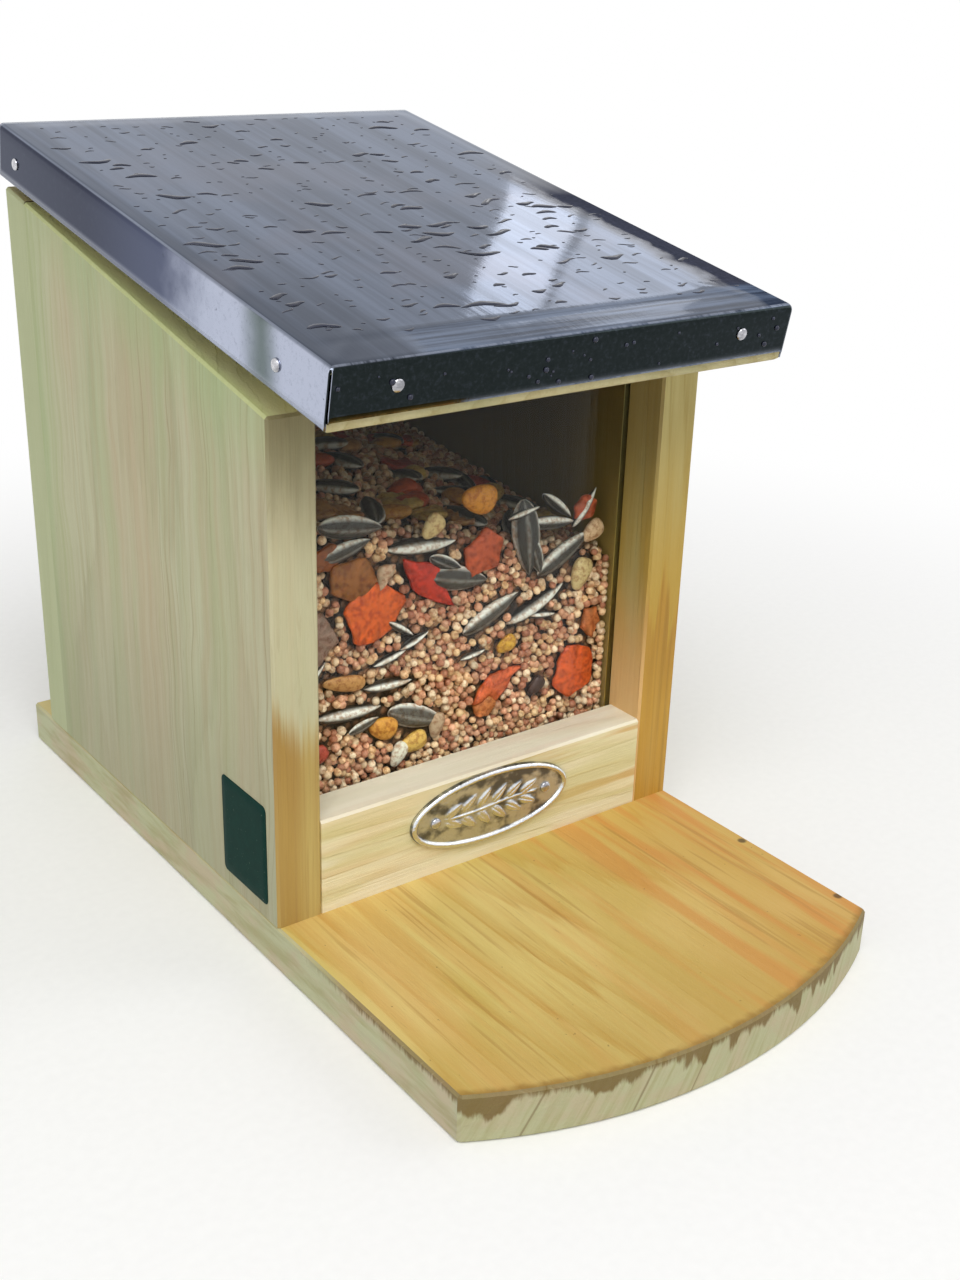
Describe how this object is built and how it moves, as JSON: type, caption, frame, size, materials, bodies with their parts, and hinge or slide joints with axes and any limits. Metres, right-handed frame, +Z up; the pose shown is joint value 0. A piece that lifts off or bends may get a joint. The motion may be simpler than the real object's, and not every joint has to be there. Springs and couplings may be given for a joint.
{
  "type": "squirrel feeder",
  "caption": "Wooden squirrel feeder box with a clear front, a bowed landing board and a zinc-covered roof lid hinged at the back.",
  "frame": {"origin": "under the middle of the base board, on its underside", "axes": "+Z up, +Y from the landing board towards the back wall, +X to the right seen from the front"},
  "size_m": [0.1272, 0.236, 0.1814],
  "materials": {
    "pine_base": "sawn pressure-treated pine, damp and warm toned",
    "pine_left_wall": "sawn pressure-treated pine, pale grey-green",
    "pine_right_wall": "sawn pressure-treated pine, yellow-green",
    "pine_back": "sawn pressure-treated pine, greenish",
    "pine_rail": "sawn pressure-treated pine, pale cream",
    "pine_roof": "sawn pressure-treated pine",
    "clear_pane": "clear polished acrylic",
    "seed_mix": "mixed seed and grain",
    "plate_metal": "pressed, satin",
    "pin_steel": "bright domed heads",
    "zinc_sheet": "weathered zinc, wet sheen",
    "fixing_steel": "zinc-plated",
    "hinge_steel": "zinc-plated"
  },
  "bodies": {
    "house": {"base_board": "pine_base", "left_side_wall": "pine_left_wall", "right_side_wall": "pine_right_wall", "back_wall": "pine_back", "front_rail": "pine_rail", "window_pane": "clear_pane", "seed_fill": "seed_mix", "oval_plate": "plate_metal", "oval_plate_pins": "pin_steel", "base_screws": "fixing_steel", "back_wall_nails": "fixing_steel", "hinge_wall_screws": "fixing_steel", "hinge_wall_leaf_left": "hinge_steel", "hinge_wall_leaf_right": "hinge_steel", "hinge_pin_left": "hinge_steel", "hinge_pin_right": "hinge_steel"},
    "lid": {"roof_board": "pine_roof", "roof_sheet": "zinc_sheet", "roof_sheet_nails": "pin_steel", "hinge_roof_screws": "fixing_steel", "hinge_roof_leaf_left": "hinge_steel", "hinge_roof_leaf_right": "hinge_steel"}
  },
  "joints": [
    {"name": "lid_hinge", "type": "hinge", "parent": "house", "child": "lid", "pos_m": [0, 0.1077, 0.16673], "axis": [-1, 0, 0], "range_deg": [0, 100]}
  ]
}
